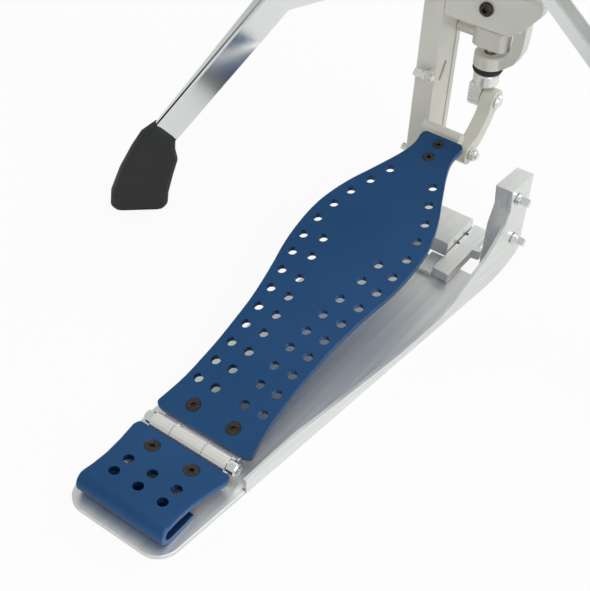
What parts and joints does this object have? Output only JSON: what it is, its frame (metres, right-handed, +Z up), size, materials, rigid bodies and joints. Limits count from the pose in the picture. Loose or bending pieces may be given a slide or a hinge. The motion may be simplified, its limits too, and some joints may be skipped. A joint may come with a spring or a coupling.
{
  "type": "hi-hat stand",
  "caption": "Hi-hat cymbal stand: hinged blue footboard on a flat base, cast frame, pull rod, telescoping tube with clutch, and folding braced legs.",
  "frame": {"origin": "floor point on the axis of the tube", "axes": "+Z up along the tube and pull rod, -Y toward the heel of the pedal, +X to the player's right when seated at the pedal, facing +Y"},
  "size_m": [0.4917, 0.4808, 0.955],
  "materials": {
    "black_rubber": "matte black",
    "black_screw": "black oxide",
    "board_blue": "anodised blue, satin",
    "cast_cream": "warm pale cast frame, satin enamel",
    "chrome": "polished chrome plate",
    "nickel": "bright nickel plate",
    "satin_aluminium": "satin, extruded",
    "spring_steel": "bright wire",
    "white_felt": "off-white wool felt"
  },
  "bodies": {
    "stand": {"base_plate": "satin_aluminium", "rail_right": "satin_aluminium", "front_block": "satin_aluminium", "clamp_block": "satin_aluminium", "lower_step": "satin_aluminium", "heel_plate": "board_blue", "heel_screw_left": "black_screw", "heel_screw_right": "black_screw", "hinge_leaf_heel": "nickel", "hinge_pin": "chrome", "ear_bolt_upper": "chrome", "ear_bolt_lower": "chrome", "post": "cast_cream", "post_bolt": "chrome", "post_clamp_bolt": "nickel", "head": "cast_cream", "head_screw": "black_screw", "guide_arm": "cast_cream", "cross_arm": "cast_cream", "main_tube": "chrome", "height_clamp": "chrome", "return_spring": "spring_steel"},
    "board": {"footboard": "board_blue", "board_screw_left": "black_screw", "board_screw_right": "black_screw", "hinge_leaf_board": "nickel", "toe_block": "cast_cream", "toe_screw_rear": "black_screw", "toe_screw_front": "black_screw", "low_pin": "nickel"},
    "link": {"link_arm": "cast_cream"},
    "rod": {"coupler": "nickel", "top_pin": "chrome", "bumper": "black_rubber", "pull_rod": "chrome", "spring_seat": "nickel"},
    "clutch": {"clutch_body": "chrome", "clutch_nut": "chrome", "clutch_felt_upper": "white_felt", "clutch_felt_lower": "white_felt", "clutch_lower_nut": "chrome"},
    "clutch_wing": {"clutch_wing_screw": "chrome"},
    "upper": {"upper_tube": "chrome"},
    "height_wing": {"height_wing_screw": "chrome"},
    "seat": {"seat_cup": "chrome", "seat_felt": "white_felt"},
    "seat_screw": {"tilt_screw": "chrome"},
    "collar": {"strut_collar": "chrome"},
    "hub_ring": {"hub": "chrome"},
    "hub_wing": {"hub_wing_screw": "chrome"},
    "leg_1_body": {"leg_1": "chrome", "foot_1": "black_rubber"},
    "strut_1_body": {"strut_1": "chrome"},
    "leg_2_body": {"leg_2": "chrome", "foot_2": "black_rubber"},
    "strut_2_body": {"strut_2": "chrome"}
  },
  "joints": [
    {"name": "board_hinge", "type": "hinge", "parent": "stand", "child": "board", "pos_m": [0, -0.362, 0.0135], "axis": [1, 0, 0], "range_deg": [-8, 0]},
    {"name": "link_hinge", "type": "hinge", "parent": "board", "child": "link", "pos_m": [0, -0.034, 0.0664], "axis": [1, 0, 0], "range_deg": [0, 16.5]},
    {"name": "rod_slide", "type": "slide", "parent": "stand", "child": "rod", "axis": [0, 0, 1], "range_m": [-0.0425, 0], "stiffness_N_per_m": 1500, "springref_m": 0.02, "deforming": ["return_spring"]},
    {"name": "clutch_slide", "type": "slide", "parent": "rod", "child": "clutch", "axis": [0, 0, 1], "range_m": [-0.006, 0.025]},
    {"name": "clutch_wing_turn", "type": "hinge", "parent": "clutch", "child": "clutch_wing", "pos_m": [0.0098, 0, 0.911], "axis": [1, 0, 0], "continuous": true},
    {"name": "height_slide", "type": "slide", "parent": "stand", "child": "upper", "axis": [0, 0, 1], "range_m": [-0.1, 0]},
    {"name": "height_wing_turn", "type": "hinge", "parent": "stand", "child": "height_wing", "pos_m": [0.0255, -0.0085, 0.489], "axis": [0, -1, 0], "continuous": true},
    {"name": "seat_tilt", "type": "hinge", "parent": "upper", "child": "seat", "pos_m": [0, 0, 0.78], "axis": [0, 1, 0], "range_deg": [-2.5, 2.5]},
    {"name": "tilt_screw_turn", "type": "hinge", "parent": "seat", "child": "seat_screw", "pos_m": [0.0315, 0, 0.78], "axis": [0, 0, 1], "continuous": true},
    {"name": "tripod_turn", "type": "hinge", "parent": "stand", "child": "collar", "pos_m": [0, 0, 0.217], "axis": [0, 0, 1], "range_deg": [-40, 28]},
    {"name": "hub_slide", "type": "slide", "parent": "collar", "child": "hub_ring", "axis": [0, 0, 1], "range_m": [-0.02, 0]},
    {"name": "hub_wing_turn", "type": "hinge", "parent": "hub_ring", "child": "hub_wing", "pos_m": [0.00353, 0.02232, 0.3595], "axis": [0.1564, 0.9877, 0], "continuous": true},
    {"name": "leg_1_fold", "type": "hinge", "parent": "hub_ring", "child": "leg_1_body", "pos_m": [-0.02546, -0.02253, 0.3628], "axis": [0.6626, -0.749, 0], "range_deg": [0, 3.6]},
    {"name": "strut_1_fold", "type": "hinge", "parent": "collar", "child": "strut_1_body", "pos_m": [-0.02546, -0.02253, 0.2195], "axis": [0.6626, -0.749, 0], "range_deg": [0, 12.5]},
    {"name": "leg_2_fold", "type": "hinge", "parent": "hub_ring", "child": "leg_2_body", "pos_m": [0.02974, -0.01648, 0.3628], "axis": [0.4848, 0.8746, 0], "range_deg": [0, 3.6]},
    {"name": "strut_2_fold", "type": "hinge", "parent": "collar", "child": "strut_2_body", "pos_m": [0.02974, -0.01648, 0.2195], "axis": [0.4848, 0.8746, 0], "range_deg": [0, 12.5]}
  ],
  "couplings": [
    {"joint": "rod_slide", "follows": "board_hinge", "m_per_rad": 0.29914},
    {"joint": "link_hinge", "follows": "board_hinge", "ratio": -2.0002},
    {"joint": "leg_1_fold", "follows": "hub_slide", "rad_per_m": -2.854},
    {"joint": "strut_1_fold", "follows": "hub_slide", "rad_per_m": -10.342},
    {"joint": "leg_2_fold", "follows": "hub_slide", "rad_per_m": -2.854},
    {"joint": "strut_2_fold", "follows": "hub_slide", "rad_per_m": -10.342}
  ]
}
